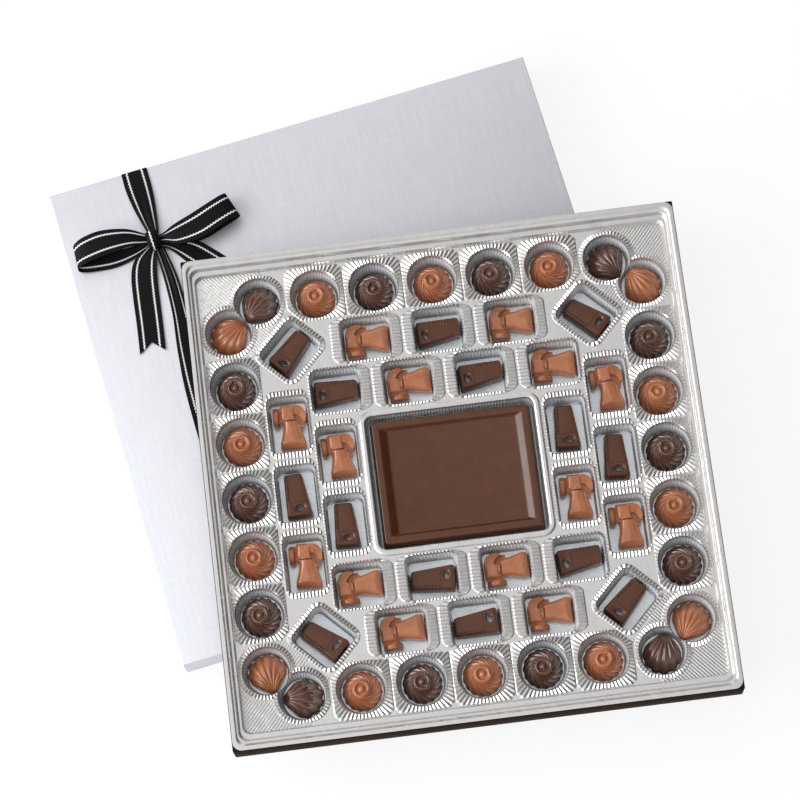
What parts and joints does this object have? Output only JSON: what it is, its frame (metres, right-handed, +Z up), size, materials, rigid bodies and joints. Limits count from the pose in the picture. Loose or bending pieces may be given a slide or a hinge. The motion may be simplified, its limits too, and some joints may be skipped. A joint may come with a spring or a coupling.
{
  "type": "chocolate box",
  "caption": "Square gift box of moulded chocolates: a shallow open base with a fluted metallised insert, resting on its ribbon-tied lift-off lid.",
  "frame": {"origin": "on the floor under the middle of the whole set's bounding box; the lid's rim stands on this plane", "axes": "+Z up; +X and +Y along the base's edges, with +Y towards the back, where the lid shows past the base"},
  "size_m": [0.3776, 0.4122, 0.0466],
  "materials": {
    "greyboard": "bare grey board, hidden under paper",
    "stay_paper": "gummed kraft tape, hidden",
    "brown_paper": "dark brown coated cover paper, satin",
    "silver_paper": "silver cover paper with a fine line emboss",
    "ribbon": "black woven ribbon with two light stitched lines",
    "metallised_plastic": "thin vacuum-formed plastic sheet with a bright metallised face",
    "milk_chocolate": "moulded milk chocolate with a soft gloss",
    "dark_chocolate": "moulded dark chocolate with a soft gloss"
  },
  "bodies": {
    "lid": {"lid_top_panel": "greyboard", "lid_wall_front": "greyboard", "lid_wall_back": "greyboard", "lid_wall_left": "greyboard", "lid_wall_right": "greyboard", "lid_corner_stays": "stay_paper", "lid_wrap": "silver_paper", "ribbon_band": "ribbon", "bow_knot": "ribbon", "bow_loop_left": "ribbon", "bow_loop_right": "ribbon", "bow_tail_left": "ribbon", "bow_tail_right": "ribbon"},
    "base": {"base_bottom_panel": "greyboard", "base_wall_front": "greyboard", "base_wall_back": "greyboard", "base_wall_left": "greyboard", "base_wall_right": "greyboard", "base_corner_stays": "stay_paper", "base_wrap": "brown_paper"},
    "insert": {"insert_tray": "metallised_plastic"},
    "milk_swirls": {"milk_swirls": "milk_chocolate"},
    "dark_swirls": {"dark_swirls": "dark_chocolate"},
    "milk_shells": {"milk_shells": "milk_chocolate"},
    "dark_shells": {"dark_shells": "dark_chocolate"},
    "milk_hammers": {"milk_hammers": "milk_chocolate"},
    "dark_saws": {"dark_saws": "dark_chocolate"},
    "centre_bar": {"centre_bar": "dark_chocolate"}
  },
  "joints": [
    {"name": "base_lift", "type": "slide", "parent": "lid", "child": "base", "axis": [0, 0, 1], "range_m": [0, 0.12]},
    {"name": "insert_lift", "type": "slide", "parent": "base", "child": "insert", "axis": [0, 0, 1], "range_m": [0, 0.06]},
    {"name": "milk_swirls_lift", "type": "slide", "parent": "insert", "child": "milk_swirls", "axis": [0, 0, 1], "range_m": [0, 0.04]},
    {"name": "dark_swirls_lift", "type": "slide", "parent": "insert", "child": "dark_swirls", "axis": [0, 0, 1], "range_m": [0, 0.04]},
    {"name": "milk_shells_lift", "type": "slide", "parent": "insert", "child": "milk_shells", "axis": [0, 0, 1], "range_m": [0, 0.04]},
    {"name": "dark_shells_lift", "type": "slide", "parent": "insert", "child": "dark_shells", "axis": [0, 0, 1], "range_m": [0, 0.04]},
    {"name": "milk_hammers_lift", "type": "slide", "parent": "insert", "child": "milk_hammers", "axis": [0, 0, 1], "range_m": [0, 0.04]},
    {"name": "dark_saws_lift", "type": "slide", "parent": "insert", "child": "dark_saws", "axis": [0, 0, 1], "range_m": [0, 0.04]},
    {"name": "centre_bar_lift", "type": "slide", "parent": "insert", "child": "centre_bar", "axis": [0, 0, 1], "range_m": [0, 0.04]}
  ]
}
